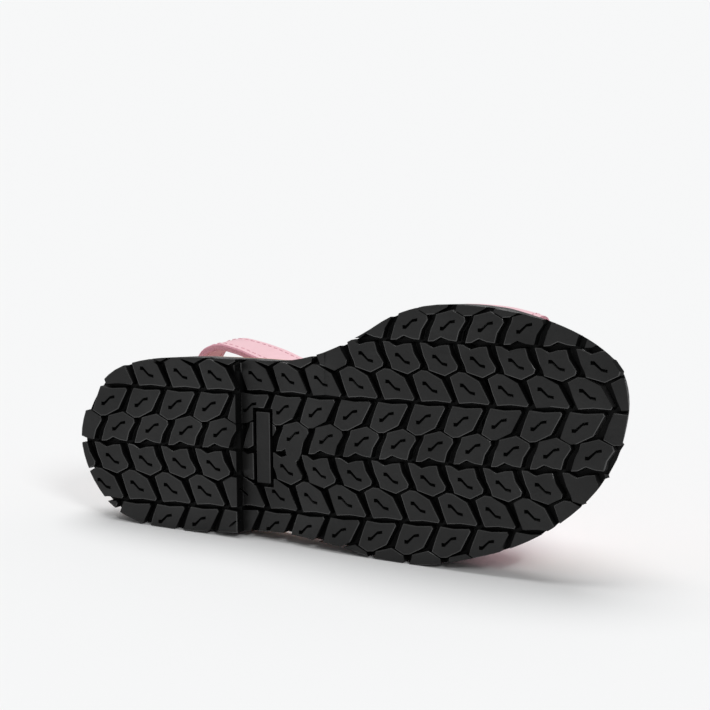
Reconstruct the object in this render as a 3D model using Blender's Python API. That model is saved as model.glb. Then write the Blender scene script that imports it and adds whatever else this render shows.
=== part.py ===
"""Avarca sandal, left shoe, lying on its outer side with the tread upright.

The shoe is built standing, in its own frame: X runs from the heel's back to
the toe, Y to the outer side of the foot and Z up, with the tread at Z = 0.
An empty then lays it on its outer side. All lengths are in metres.
"""
import math
from collections import namedtuple
from functools import lru_cache

import bmesh
import bpy
from mathutils import Matrix, Vector
from mathutils.geometry import delaunay_2d_cdt

# Sole, seen from below
SOLE_LENGTH = 0.1870
BALL_WIDTH = 0.0770
WAIST_WIDTH = 0.0525
HEEL_WIDTH = 0.0535

# Sole, seen from the side
SOLE_THICKNESS = 0.0095
HEEL_LENGTH = 0.0575
HEEL_DROP = 0.0035
ARCH_LENGTH = 0.0380
TOE_SPRING_LENGTH = 0.0400
TOE_SPRING = 0.0050
TOE_THINNING = 0.0035
SIDE_SLOPE = math.tan(math.radians(4.0))
TOE_SIDE_SLOPE = math.tan(math.radians(24.0))

# Tread
LUG_PITCH = 0.0125
ROW_SPACING = 0.0089
GROOVE_DEPTH = 0.0026
LUG_START = 0.1252
ROW_START = 0.0215
BAND_SHIFT = 0.0044

# Bare plate and badge in front of the heel
PLATE_LENGTH = 0.0216
PLATE_WIDTH = 0.0052
PLATE_FROM_BREAST = 0.0052
PLATE_MOAT = 0.0011
BADGE_LENGTH = 0.0092
BADGE_WIDTH = 0.0064
BADGE_FROM_PLATE = 0.0116
BADGE_OFFSET = 0.0009

# Footbed
FOOTBED_THICKNESS = 0.0021
FOOTBED_MARGIN = 0.0002
FOOTBED_TOE_MARGIN = 0.0018

# Vamp
VAMP_WALL = 0.0018
VAMP_MARGIN = 0.0002
INSTEP_HEIGHT = 0.0370
VAMP_BULGE = 0.0003
CREST_SHIFT = 0.0020
SECTION_FULLNESS = 2.2
TOE_EDGE_MEDIAL = 0.1560
TOE_EDGE_LATERAL = 0.1445
TOE_EDGE_DIP = 0.0060
THROAT_MEDIAL = 0.0950
THROAT_LATERAL = 0.0905
THROAT_DEPTH = 0.0230

# Heel strap
STRAP_WIDTH = 0.0135
STRAP_THICKNESS = 0.0020
STRAP_EDGE_ROUND = 0.0004
STRAP_HEIGHT = 0.0420
STRAP_SPREAD = 0.0255
STRAP_OVERLAP = 0.0130
STRAP_SEAT_HEIGHT = 0.0085
STRAP_SLOPE = math.tan(math.radians(17.0))

# Fit between curved pieces, and between the strap and the vamp's inner face
CLEARANCE = 0.0003
STRAP_GAP = 0.0006

# How finely curves are cut
OUTLINE_STEPS = 3
SECTION_STEPS = 30
VAMP_STEPS = 12
STRAP_STEPS = 5
FINE_STEPS = 160

MEDIAL = -1
LATERAL = 1

# Outline rows: a share of the sole's length, then how far the edge lies to
# the inner and to the outer side, as shares of the named width
OutlineRow = namedtuple("OutlineRow", "along medial lateral width")
OUTLINE_ROWS = (
    OutlineRow(0.010, 0.160, 0.155, HEEL_WIDTH),
    OutlineRow(0.035, 0.300, 0.305, HEEL_WIDTH),
    OutlineRow(0.070, 0.403, 0.415, HEEL_WIDTH),
    OutlineRow(0.120, 0.463, 0.478, HEEL_WIDTH),
    OutlineRow(0.190, 0.494, 0.500, HEEL_WIDTH),
    OutlineRow(0.300, 0.500, 0.493, HEEL_WIDTH),
    OutlineRow(0.390, 0.511, 0.489, WAIST_WIDTH),
    OutlineRow(0.450, 0.373, 0.348, BALL_WIDTH),
    OutlineRow(0.500, 0.414, 0.360, BALL_WIDTH),
    OutlineRow(0.545, 0.466, 0.386, BALL_WIDTH),
    OutlineRow(0.600, 0.541, 0.403, BALL_WIDTH),
    OutlineRow(0.660, 0.586, 0.404, BALL_WIDTH),
    OutlineRow(0.730, 0.597, 0.371, BALL_WIDTH),
    OutlineRow(0.800, 0.582, 0.322, BALL_WIDTH),
    OutlineRow(0.860, 0.556, 0.256, BALL_WIDTH),
    OutlineRow(0.910, 0.518, 0.175, BALL_WIDTH),
    OutlineRow(0.950, 0.467, 0.080, BALL_WIDTH),
    OutlineRow(0.980, 0.404, -0.028, BALL_WIDTH),
    OutlineRow(0.995, 0.330, -0.146, BALL_WIDTH),
)
TOE_TIP_SHARE = 0.240

# Lug rows of one band: shares of the row spacing across and of the pitch
# along, which lug stands there and whether it slants the other way
LugRow = namedtuple("LugRow", "across along lug flipped")
LUG_ROWS = (
    LugRow(0.90, 0.27, "waved", False),
    LugRow(0.00, 0.00, "six_sided", False),
    LugRow(-1.08, -0.18, "six_sided", True),
    LugRow(-1.95, 0.13, "waved", True),
)
ROWS_IN_BAND = len(LUG_ROWS)

# Lug corners: shares of the pitch along and of the row spacing across
Corner = namedtuple("Corner", "along across")
LUG_CORNERS = {
    "six_sided": (
        Corner(-0.47, 0.37),
        Corner(-0.34, -0.14),
        Corner(-0.23, -0.50),
        Corner(0.13, -0.45),
        Corner(0.54, -0.49),
        Corner(0.58, -0.40),
        Corner(0.31, 0.27),
        Corner(-0.07, 0.53),
        Corner(-0.23, 0.55),
    ),
    "waved": (
        Corner(-0.54, 0.56),
        Corner(-0.44, 0.11),
        Corner(-0.33, -0.19),
        Corner(-0.30, -0.36),
        Corner(0.13, -0.52),
        Corner(0.45, -0.30),
        Corner(0.48, -0.16),
        Corner(0.31, 0.19),
        Corner(0.24, 0.52),
        Corner(0.03, 0.49),
        Corner(-0.18, 0.40),
        Corner(-0.37, 0.54),
    ),
}

# Height of the vamp's crest: shares of the sole's length and of the instep
HeightRow = namedtuple("HeightRow", "along height")
HEIGHT_ROWS = (
    HeightRow(0.46, 1.06),
    HeightRow(0.56, 1.00),
    HeightRow(0.66, 0.87),
    HeightRow(0.76, 0.70),
    HeightRow(0.86, 0.57),
    HeightRow(0.92, 0.53),
)

# Free run of the strap: shares of the sole's length along, of the spread
# across and of the strap's height, and the lean of its upper edge in degrees
StrapRow = namedtuple("StrapRow", "along across rise lean")
STRAP_MEDIAL_ROWS = (
    StrapRow(0.400, 0.730, 0.46, 4.0),
    StrapRow(0.300, 0.760, 0.60, 8.0),
    StrapRow(0.220, 0.880, 0.74, 8.0),
    StrapRow(0.160, 0.955, 0.84, 5.0),
    StrapRow(0.110, 0.975, 0.91, 3.0),
    StrapRow(0.070, 0.860, 0.96, 2.0),
    StrapRow(0.045, 0.520, 0.99, 0.0),
)
STRAP_BACK_ROW = StrapRow(0.034, 0.000, 1.00, 0.0)
STRAP_LATERAL_ROWS = (
    StrapRow(0.045, 0.480, 0.99, 0.0),
    StrapRow(0.075, 0.740, 0.95, 0.0),
    StrapRow(0.130, 0.820, 0.88, 0.0),
    StrapRow(0.210, 0.820, 0.76, 0.0),
    StrapRow(0.300, 0.810, 0.60, 0.0),
    StrapRow(0.400, 0.840, 0.46, 0.0),
)


def clamp(value, low=0.0, high=1.0):
    """Keeps a value between two limits."""
    return max(low, min(high, value))


def ease(share):
    """Turns a straight share from 0 to 1 into one that starts and ends flat."""
    share = clamp(share)
    return share * share * (3.0 - 2.0 * share)


def mix(first, second, share):
    """Blends two numbers or vectors."""
    return first * (1.0 - share) + second * share


# Smooth curves through a few points


def spline_span(points, steps):
    """Samples the stretch between the second and third of four points."""
    knots = [0.0]
    for start, end in zip(points, points[1:]):
        knots.append(knots[-1] + math.sqrt((end - start).length))
    samples = []
    for step in range(steps):
        at = mix(knots[1], knots[2], step / steps)
        level = list(points)
        for reach in (1, 2, 3):
            blended = []
            for index in range(len(level) - 1):
                low = knots[index] if reach < 3 else knots[1]
                high = knots[index + reach] if reach < 3 else knots[2]
                share = (at - low) / (high - low)
                blended.append(mix(level[index], level[index + 1], share))
            level = blended
        samples.append(level[0])
    return samples


def smooth_loop(points, steps):
    """Closed smooth curve through the points."""
    count = len(points)
    curve = []
    for index in range(count):
        four = [points[(index + offset) % count] for offset in (-1, 0, 1, 2)]
        curve.extend(spline_span(four, steps))
    return curve


def smooth_line(points, steps):
    """Open smooth curve through the points, ends included."""
    padded = [2 * points[0] - points[1]] + list(points)
    padded.append(2 * points[-1] - points[-2])
    curve = []
    for index in range(len(points) - 1):
        curve.extend(spline_span(padded[index:index + 4], steps))
    curve.append(points[-1])
    return curve


# The last: outline and heights that every piece follows


def outline_loop():
    """Edge of the tread from above, counter-clockwise from the heel's back."""
    anchors = [Vector((0.0, 0.0))]
    for row in OUTLINE_ROWS:
        anchors.append(Vector((row.along * SOLE_LENGTH, -row.medial * row.width)))
    anchors.append(Vector((SOLE_LENGTH, -TOE_TIP_SHARE * BALL_WIDTH)))
    for row in reversed(OUTLINE_ROWS):
        anchors.append(Vector((row.along * SOLE_LENGTH, row.lateral * row.width)))
    return smooth_loop(anchors, OUTLINE_STEPS)


OUTLINE = outline_loop()


@lru_cache(maxsize=None)
def half_width(x, side):
    """How far the tread's edge lies to one side of the heel's middle line."""
    reach = 0.0
    for start, end in zip(OUTLINE, OUTLINE[1:] + OUTLINE[:1]):
        low, high = sorted((start.x, end.x))
        if low <= x <= high and high > low:
            y = mix(start.y, end.y, (x - start.x) / (end.x - start.x))
            reach = max(reach, y * side)
    return reach


def inward_normals(loop):
    """Unit vectors that point into a counter-clockwise loop."""
    normals = []
    for index, point in enumerate(loop):
        before = point - loop[index - 1]
        after = loop[(index + 1) % len(loop)] - point
        tangent = before.normalized() + after.normalized()
        normals.append(Vector((-tangent.y, tangent.x)).normalized())
    return normals


def inset_loop(loop, amount):
    """Moves each point inward by amount(point)."""
    normals = inward_normals(loop)
    return [point + normal * amount(point) for point, normal in zip(loop, normals)]


OUTLINE_NORMALS = inward_normals(OUTLINE)


def outline_normal(point):
    """Inward direction at a point on the outline."""
    best = None
    for index, start in enumerate(OUTLINE):
        following = (index + 1) % len(OUTLINE)
        along = OUTLINE[following] - start
        share = clamp((point - start).dot(along) / along.length_squared)
        gap = (start + along * share - point).length
        if best is None or gap < best[0]:
            normal = mix(OUTLINE_NORMALS[index], OUTLINE_NORMALS[following], share)
            best = (gap, normal)
    return best[1]


def toe_lift(x):
    """Rise of the sole's tip."""
    share = clamp((x - SOLE_LENGTH + TOE_SPRING_LENGTH) / TOE_SPRING_LENGTH)
    return TOE_SPRING * share * share


def heel_rise(x):
    """How far the heel lifts the foot at this place."""
    return HEEL_DROP * (1.0 - ease((x - HEEL_LENGTH) / ARCH_LENGTH))


def tread_height(x, on_heel):
    """Height of the lugs' ends."""
    return 0.0 if on_heel else heel_rise(x) + toe_lift(x)


def sole_top(x):
    """Height of the sole's upper side."""
    thinning = TOE_THINNING * toe_lift(x) / TOE_SPRING
    return heel_rise(x) + toe_lift(x) + SOLE_THICKNESS - thinning


def side_inset(x, z):
    """How far the sole's side has drawn in at a height."""
    slope = mix(SIDE_SLOPE, TOE_SIDE_SLOPE, math.sqrt(toe_lift(x) / TOE_SPRING))
    return slope * (z - toe_lift(x))


def top_inset(x):
    """How far the sole's upper edge lies inside the tread's edge."""
    return side_inset(x, sole_top(x))


def stations():
    """Places along the sole where its height bends."""
    count = 6
    arch = [HEEL_LENGTH + ARCH_LENGTH * step / count for step in range(count + 1)]
    spring_start = SOLE_LENGTH - TOE_SPRING_LENGTH
    spring = [spring_start + TOE_SPRING_LENGTH * step / count for step in range(count)]
    return arch + spring


# Mesh helpers


def new_material(name, color, roughness):
    """Plain finish for one kind of material."""
    material = bpy.data.materials.new(name)
    material.use_nodes = True
    shader = material.node_tree.nodes["Principled BSDF"]
    shader.inputs["Base Color"].default_value = (*color, 1.0)
    shader.inputs["Roughness"].default_value = roughness
    shader.inputs["Metallic"].default_value = 0.0
    return material


def new_object(name, mesh_data, material, parent):
    """Turns a bmesh into a named object under the pose empty."""
    bmesh.ops.recalc_face_normals(mesh_data, faces=mesh_data.faces)
    mesh = bpy.data.meshes.new(name)
    mesh_data.to_mesh(mesh)
    mesh_data.free()
    mesh.materials.append(material)
    piece = bpy.data.objects.new(name, mesh)
    bpy.context.collection.objects.link(piece)
    piece.parent = parent
    return piece


def shade_smooth(piece, angle):
    """Shades a piece smooth, with edges past the angle kept sharp."""
    piece.data.shade_smooth()
    piece.data.set_sharp_from_angle(angle=math.radians(angle))


def turns_left(ring):
    """True where a ring runs counter-clockwise."""
    following = ring[1:] + ring[:1]
    return sum(start.cross(end) for start, end in zip(ring, following)) > 0


def cut_flat(rings, chords):
    """Cuts nested flat rings and chords into triangles.

    Returns the points, the triangles and the rings that hold each triangle.
    """
    points = []
    edges = []
    faces = []
    for ring in rings:
        first = len(points)
        points.extend(ring if turns_left(ring) else reversed(ring))
        faces.append(list(range(first, len(points))))
    for start, end in chords:
        first = len(points)
        points.extend((start, end))
        edges.append((first, first + 1))
    result = delaunay_2d_cdt(points, edges, faces, 1, 1e-6)
    flat_points, _, triangles, _, _, holders = result
    return flat_points, triangles, holders


def slab(loop, lower, upper):
    """Closed sheet between two heights, which bend only along the shoe."""
    chords = []
    for x in stations():
        chords.append((Vector((x, -BALL_WIDTH)), Vector((x, BALL_WIDTH))))
    points, triangles, holders = cut_flat([loop], chords)
    kept = [tri for tri, held in zip(triangles, holders) if 0 in held]
    body = bmesh.new()
    low = {}
    high = {}
    for index in sorted({corner for tri in kept for corner in tri}):
        x, y = points[index]
        low[index] = body.verts.new((x, y, lower(x)))
        high[index] = body.verts.new((x, y, upper(x)))
    for start, end in rim_edges(kept):
        body.faces.new((low[start], low[end], high[end], high[start]))
    for tri in kept:
        body.faces.new([low[index] for index in reversed(tri)])
        body.faces.new([high[index] for index in tri])
    return body


def rim_edges(triangles):
    """Edges that only one triangle has, in that triangle's direction."""
    sides = {}
    for tri in triangles:
        for start, end in zip(tri, tri[1:] + tri[:1]):
            sides.setdefault(frozenset((start, end)), []).append((start, end))
    return [users[0] for users in sides.values() if len(users) == 1]


# Outsole: sole, heel block and lugs, moulded in one


def lug_ring(row, band, column):
    """Outline of one lug of the pattern."""
    middle = Vector((
        LUG_START + (column + row.along) * LUG_PITCH - band * BAND_SHIFT,
        -ROW_START - (row.across - band * ROWS_IN_BAND) * ROW_SPACING,
    ))
    turn = 1 if row.flipped else -1
    ring = []
    for corner in LUG_CORNERS[row.lug]:
        offset = Vector((corner.along * LUG_PITCH, turn * corner.across * ROW_SPACING))
        ring.append(middle + offset)
    return ring


def inside(point, ring):
    """True where a point lies in a ring."""
    crossings = 0
    for start, end in zip(ring, ring[1:] + ring[:1]):
        if (start.y > point.y) != (end.y > point.y):
            x = mix(start.x, end.x, (point.y - start.y) / (end.y - start.y))
            crossings += x > point.x
    return crossings % 2 == 1


def lug_rings():
    """Every lug that reaches the sole, whole: the outline cuts them off."""
    rings = []
    bands = math.ceil(BALL_WIDTH / (ROWS_IN_BAND * ROW_SPACING)) + 1
    columns = math.ceil(SOLE_LENGTH / LUG_PITCH) + 1
    for band in range(-bands, bands + 1):
        for row in LUG_ROWS:
            for column in range(-columns, columns + 1):
                ring = lug_ring(row, band, column)
                if any(inside(point, OUTLINE) for point in ring):
                    rings.append(ring)
    return rings


def box_ring(center, length, width):
    """Rectangle with its length across the shoe."""
    corners = ((-1, -1), (1, -1), (1, 1), (-1, 1))
    return [center + Vector((sx * width / 2, sy * length / 2)) for sx, sy in corners]


def oval_ring(center, length, width, count=24):
    """Oval with its length across the shoe."""
    ring = []
    for step in range(count):
        turn = 2 * math.pi * step / count
        ring.append(center + Vector((width / 2 * math.cos(turn), length / 2 * math.sin(turn))))
    return ring


def tread_plan():
    """Flat plan of the tread: points and (triangle, raised, on_heel) rows."""
    plate_middle = Vector((HEEL_LENGTH + PLATE_FROM_BREAST + PLATE_WIDTH / 2, 0.0))
    badge_middle = plate_middle + Vector((BADGE_FROM_PLATE, -BADGE_OFFSET))
    moat_length = PLATE_LENGTH + 2 * PLATE_MOAT
    moat_width = PLATE_WIDTH + 2 * PLATE_MOAT
    rings = [
        OUTLINE,
        box_ring(plate_middle, PLATE_LENGTH, PLATE_WIDTH),
        box_ring(plate_middle, moat_length, moat_width),
        oval_ring(badge_middle, BADGE_LENGTH, BADGE_WIDTH),
    ]
    edge, plate, moat = 0, 1, 2
    rings.extend(lug_rings())
    chords = [
        (Vector((x, -BALL_WIDTH)), Vector((x, BALL_WIDTH))) for x in stations()
    ]
    points, triangles, holders = cut_flat(rings, chords)
    plan = []
    for tri, held in zip(triangles, holders):
        if edge not in held:
            continue
        raised = plate in held or (moat not in held and len(held) > 1)
        on_heel = sum(points[index].x for index in tri) / 3 < HEEL_LENGTH
        plan.append((tuple(tri), raised, on_heel))
    return points, plan


class Terraces:
    """Builds a body whose underside steps between flat-bottomed levels."""

    def __init__(self, points, plan):
        self.points = points
        self.plan = plan
        self.body = bmesh.new()
        self.verts = {}
        self.levels = {}
        self.rim = rim_edges([tri for tri, _, _ in plan])
        self.inward = self.rim_normals()

    def rim_normals(self):
        """Inward direction at each point of the rim, in order round it."""
        following = dict(self.rim)
        order = [self.rim[0][0]]
        while following[order[-1]] != order[0]:
            order.append(following[order[-1]])
        return {index: outline_normal(self.points[index]) for index in order}

    def height(self, index, raised, on_heel):
        """Height of the underside at a point."""
        x = self.points[index].x
        return tread_height(x, on_heel) + (0.0 if raised else GROOVE_DEPTH)

    def vert(self, index, z):
        """Vertex over a point of the plan, drawn in at the rim."""
        key = (index, round(z, 7))
        if key not in self.verts:
            point = self.points[index]
            if index in self.inward:
                point = point + self.inward[index] * side_inset(point.x, z)
            self.verts[key] = self.body.verts.new((point.x, point.y, z))
        self.levels.setdefault(index, set()).add(round(z, 7))
        return self.verts[key]

    def upright(self, index, start, end):
        """Vertices over a point from one height to another, in order."""
        start, end = round(start, 7), round(end, 7)
        low, high = min(start, end), max(start, end)
        between = sorted(z for z in self.levels[index] if low <= z <= high)
        if start > end:
            between.reverse()
        return [self.verts[index, z] for z in between]

    def wall(self, edge, one, other):
        """Upright face along an edge, between two pairs of heights."""
        start, end = edge
        ring = self.upright(start, one[0], other[0]) + self.upright(end, other[1], one[1])
        unique = list(dict.fromkeys(ring))
        if len(unique) > 2:
            self.body.faces.new(unique)

    def build(self):
        """Makes the underside, its walls, the sides and the upper side."""
        sides = {}
        for tri, raised, on_heel in self.plan:
            heights = {index: self.height(index, raised, on_heel) for index in tri}
            verts = [self.vert(index, heights[index]) for index in reversed(tri)]
            self.body.faces.new(verts)
            for start, end in zip(tri, tri[1:] + tri[:1]):
                edge = tuple(sorted((start, end)))
                sides.setdefault(edge, []).append((heights[edge[0]], heights[edge[1]]))
        for index in self.inward:
            self.vert(index, sole_top(self.points[index].x))
        for edge, heights in sides.items():
            if len(heights) == 1:
                heights.append(tuple(sole_top(self.points[index].x) for index in edge))
            self.wall(edge, *heights)
        self.close_top()
        return self.body

    def close_top(self):
        """Fills the upper side between the rim's points."""
        order = list(self.inward)
        tops = [self.verts[index, round(sole_top(self.points[index].x), 7)] for index in order]
        loop = [vert.co.xy for vert in tops]
        on_station = {}
        for place, index in enumerate(order):
            for x in stations():
                if abs(self.points[index].x - x) < 1e-6:
                    on_station.setdefault(x, []).append(place)
        faces = [list(range(len(loop)))]
        edges = [tuple(ends) for ends in on_station.values() if len(ends) == 2]
        result = delaunay_2d_cdt(loop, edges, faces, 1, 1e-7)
        for tri, held in zip(result[2], result[5]):
            if held:
                self.body.faces.new([tops[result[3][index][0]] for index in tri])


def build_outsole(material, parent):
    """Rubber sole with its heel block, lugs, bare plate and badge."""
    points, plan = tread_plan()
    body = Terraces(points, plan).build()
    bmesh.ops.triangulate(body, faces=body.faces)
    return new_object("outsole", body, material, parent)


# Footbed: flat leather sheet that shows at the heel and at the toe


def vamp_edge(side):
    """Where the vamp's foot starts and ends along one side."""
    if side == MEDIAL:
        return THROAT_MEDIAL, TOE_EDGE_MEDIAL
    return THROAT_LATERAL, TOE_EDGE_LATERAL


def footbed_inset(point):
    """How far the footbed draws in, with room for the vamp's wall."""
    side = MEDIAL if point.y < 0 else LATERAL
    back, front = vamp_edge(side)
    blend = 2 * VAMP_WALL
    entering = ease((point.x - back + blend + VAMP_WALL) / blend)
    leaving = ease((front + blend + VAMP_WALL - point.x) / blend)
    margin = mix(FOOTBED_MARGIN, FOOTBED_TOE_MARGIN, math.sqrt(toe_lift(point.x) / TOE_SPRING))
    room = VAMP_MARGIN + VAMP_WALL + CLEARANCE - margin
    return top_inset(point.x) + margin + max(room, 0.0) * min(entering, leaving)


def footbed_top(x):
    """Height of the footbed's upper side."""
    return sole_top(x) + CLEARANCE + FOOTBED_THICKNESS


def build_footbed(material, parent):
    """Leather sheet on top of the sole."""
    loop = inset_loop(OUTLINE, footbed_inset)
    body = slab(loop, lambda x: sole_top(x) + CLEARANCE, footbed_top)
    return new_object("footbed", body, material, parent)


# Vamp: leather arch over the forefoot, open at the toe and at the throat


def crest_line():
    """Smooth line of the crest's height along the shoe."""
    points = [
        Vector((row.along * SOLE_LENGTH, row.height * INSTEP_HEIGHT)) for row in HEIGHT_ROWS
    ]
    return smooth_line(points, OUTLINE_STEPS)


CREST_LINE = crest_line()


@lru_cache(maxsize=None)
def crest_height(x):
    """Height of the vamp's crest over its foot."""
    for low, high in zip(CREST_LINE, CREST_LINE[1:]):
        if x <= high.x or high is CREST_LINE[-1]:
            return mix(low.y, high.y, (x - low.x) / (high.x - low.x))
    return CREST_LINE[-1].y


def wall_offset(x, side, height):
    """Distance of the vamp's outer face from the middle line at a height."""
    foot = half_width(x, side) - top_inset(x) - VAMP_MARGIN
    other = half_width(x, -side) - top_inset(x) - VAMP_MARGIN
    middle = (foot - other) / 2
    reach = (foot + other) / 2
    share = clamp(height / crest_height(x))
    arch = reach * (1.0 - share ** SECTION_FULLNESS) ** (1.0 / SECTION_FULLNESS)
    bulge = VAMP_BULGE * math.sin(math.pi * share)
    shift = -side * CREST_SHIFT * share * share
    return middle + arch + bulge + shift


def section(x):
    """Vamp's outer face across the shoe, from the inner foot to the outer."""
    foot = sole_top(x) + CLEARANCE
    crest = crest_height(x)
    fine = []
    for side in (MEDIAL, LATERAL):
        half = []
        for step in range(FINE_STEPS + 1):
            height = crest * math.sin(math.pi / 2 * step / FINE_STEPS)
            half.append(Vector((side * wall_offset(x, side, height), foot + height)))
        fine.extend(half if side == MEDIAL else reversed(half[:-1]))
    lengths = [0.0]
    for start, end in zip(fine, fine[1:]):
        lengths.append(lengths[-1] + (end - start).length)
    points = []
    index = 0
    for step in range(SECTION_STEPS + 1):
        target = lengths[-1] * step / SECTION_STEPS
        while index < len(fine) - 2 and lengths[index + 1] < target:
            index += 1
        share = (target - lengths[index]) / (lengths[index + 1] - lengths[index])
        points.append(mix(fine[index], fine[index + 1], clamp(share)))
    return points


def vamp_ends(across):
    """Throat and toe edge of the vamp at a share of the way across."""
    arch = math.sin(math.pi * across)
    throat = mix(THROAT_MEDIAL, THROAT_LATERAL, across) + THROAT_DEPTH * arch ** 1.5
    toe = mix(TOE_EDGE_MEDIAL, TOE_EDGE_LATERAL, across) - TOE_EDGE_DIP * arch ** 2
    return throat, toe


def build_vamp(material, parent):
    """Arch of leather with its real wall."""
    body = bmesh.new()
    rows = []
    for column in range(SECTION_STEPS + 1):
        throat, toe = vamp_ends(column / SECTION_STEPS)
        line = []
        for step in range(VAMP_STEPS + 1):
            x = mix(throat, toe, step / VAMP_STEPS)
            y, z = section(x)[column]
            line.append(body.verts.new((x, y, z)))
        rows.append(line)
    for near, far in zip(rows, rows[1:]):
        for step in range(VAMP_STEPS):
            body.faces.new((near[step], near[step + 1], far[step + 1], far[step]))
    piece = new_object("vamp", body, material, parent)
    orient_outward(piece.data)
    wall = piece.modifiers.new("wall", "SOLIDIFY")
    wall.thickness = VAMP_WALL
    wall.offset = -1.0
    wall.use_even_offset = True
    wall.use_rim = True
    shade_smooth(piece, 40)
    return piece


def orient_outward(mesh):
    """Makes an open arch face up and out."""
    crest = max(mesh.polygons, key=lambda face: face.center.z)
    if crest.normal.z < 0:
        mesh.flip_normals()


# Heel strap: a band from one side of the vamp round the heel to the other


def seat_rise(side, x):
    """Height of the strap's middle over the vamp's foot where it is sewn on."""
    behind = vamp_edge(side)[0] + STRAP_OVERLAP - x
    return FOOTBED_THICKNESS + STRAP_SEAT_HEIGHT + behind * STRAP_SLOPE


def seat_reach(side, x):
    """Offsets of the vamp's wall at the strap's lower and upper edge."""
    rise = seat_rise(side, x)
    half = STRAP_WIDTH / 2
    return wall_offset(x, side, rise - half), wall_offset(x, side, rise + half)


def seat_lean(side, x):
    """Lean of the vamp's wall where the strap is sewn on."""
    lower, upper = seat_reach(side, x)
    return math.atan2(upper - lower, STRAP_WIDTH)


def strap_seat(side, x):
    """Middle of the strap where it lies against the vamp's inner face."""
    inward = VAMP_WALL + STRAP_GAP + STRAP_THICKNESS / 2
    lower, upper = seat_reach(side, x)
    reach = (lower + upper) / 2 - inward / math.cos(seat_lean(side, x))
    return Vector((x, side * reach, sole_top(x) + CLEARANCE + seat_rise(side, x)))


def strap_point(row, side):
    """Middle of the strap on its free run."""
    x = row.along * SOLE_LENGTH
    z = footbed_top(x) + row.rise * STRAP_HEIGHT
    return Vector((x, side * row.across * STRAP_SPREAD, z))


def strap_route():
    """Middle line of the strap and its lean, from the inner end round."""
    points = []
    leans = []
    for side, rows in ((MEDIAL, STRAP_MEDIAL_ROWS), (LATERAL, STRAP_LATERAL_ROWS)):
        throat = vamp_edge(side)[0]
        ends = [throat + STRAP_OVERLAP, throat + STRAP_OVERLAP / 2, throat]
        seats = [strap_seat(side, x) for x in ends]
        seat_leans = [seat_lean(side, x) for x in ends]
        run = [strap_point(row, side) for row in rows]
        run_leans = [math.radians(row.lean) for row in rows]
        if side == MEDIAL:
            points = seats + run + [strap_point(STRAP_BACK_ROW, side)]
            leans = seat_leans + run_leans + [math.radians(STRAP_BACK_ROW.lean)]
        else:
            points += run + seats[::-1]
            leans += run_leans + seat_leans[::-1]
    return points, leans


def band_profile():
    """Corners of the strap's cross-section: across its width, then out."""
    half = STRAP_WIDTH / 2
    thick = STRAP_THICKNESS / 2
    soft = STRAP_EDGE_ROUND
    return (
        (-half, -thick + soft),
        (-half + soft, -thick),
        (half - soft, -thick),
        (half, -thick + soft),
        (half, thick - soft),
        (half - soft, thick),
        (-half + soft, thick),
        (-half, thick - soft),
    )


def build_strap(material, parent):
    """Leather band round the heel."""
    points, leans = strap_route()
    spine = smooth_line(points, STRAP_STEPS)
    body = bmesh.new()
    rings = []
    up = Vector((0.0, 0.0, 1.0))
    for index, point in enumerate(spine):
        before = spine[max(index - 1, 0)]
        after = spine[min(index + 1, len(spine) - 1)]
        tangent = (after - before).normalized()
        outward = up.cross(tangent).normalized()
        upward = tangent.cross(outward).normalized()
        place = index / STRAP_STEPS
        first = min(int(place), len(leans) - 2)
        lean = mix(leans[first], leans[first + 1], ease(place - first))
        width_way = upward * math.cos(lean) + outward * math.sin(lean)
        thick_way = outward * math.cos(lean) - upward * math.sin(lean)
        ring = []
        for across, out in band_profile():
            ring.append(body.verts.new(point + width_way * across + thick_way * out))
        rings.append(ring)
    for near, far in zip(rings, rings[1:]):
        for index in range(len(near)):
            following = (index + 1) % len(near)
            body.faces.new((near[index], near[following], far[following], far[index]))
    body.faces.new(rings[0])
    body.faces.new(rings[-1])
    piece = new_object("heel_strap", body, material, parent)
    shade_smooth(piece, 40)
    return piece


# Pose: the shoe lies on the outer edge of its tread and on the vamp's side


def hull_slope(points):
    """Rise of the line that both the heel and the ball rest on."""
    heel_side = [point for point in points if point.x < HEEL_LENGTH]
    ball_side = [point for point in points if point.x > HEEL_LENGTH + ARCH_LENGTH]
    best = None
    for low in heel_side:
        for high in ball_side:
            slope = (high.y - low.y) / (high.x - low.x)
            over = max(point.y - low.y - slope * (point.x - low.x) for point in points)
            if best is None or over < best[0]:
                best = (over, slope, low)
    return best[1], best[2]


def lie_down(pose, pieces):
    """Turns the shoe onto its side and sets it down over the origin."""
    slope, corner = hull_slope(OUTLINE)
    yaw = math.atan(slope)
    turn_in_plane = Matrix.Rotation(-yaw, 4, "Z")
    depsgraph = bpy.context.evaluated_depsgraph_get()
    floor_side = (turn_in_plane @ Vector((corner.x, corner.y, 0.0))).y
    corners = []
    for piece in pieces:
        mesh = piece.evaluated_get(depsgraph).data
        corners.extend(turn_in_plane @ vert.co for vert in mesh.vertices)
    above = [point for point in corners if point.z > SOLE_THICKNESS + HEEL_DROP]
    lean = min(math.atan2(floor_side - point.y, point.z) for point in above)
    onto_side = Matrix.Rotation(-math.pi / 2 - lean, 4, "X")
    turn = onto_side @ turn_in_plane
    lying = [onto_side @ point for point in corners]
    low = Vector(min(point[axis] for point in lying) for axis in range(3))
    high = Vector(max(point[axis] for point in lying) for axis in range(3))
    middle = (low + high) / 2
    pose.rotation_euler = turn.to_euler()
    pose.location = (-middle.x, -middle.y, -low.z)


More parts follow.
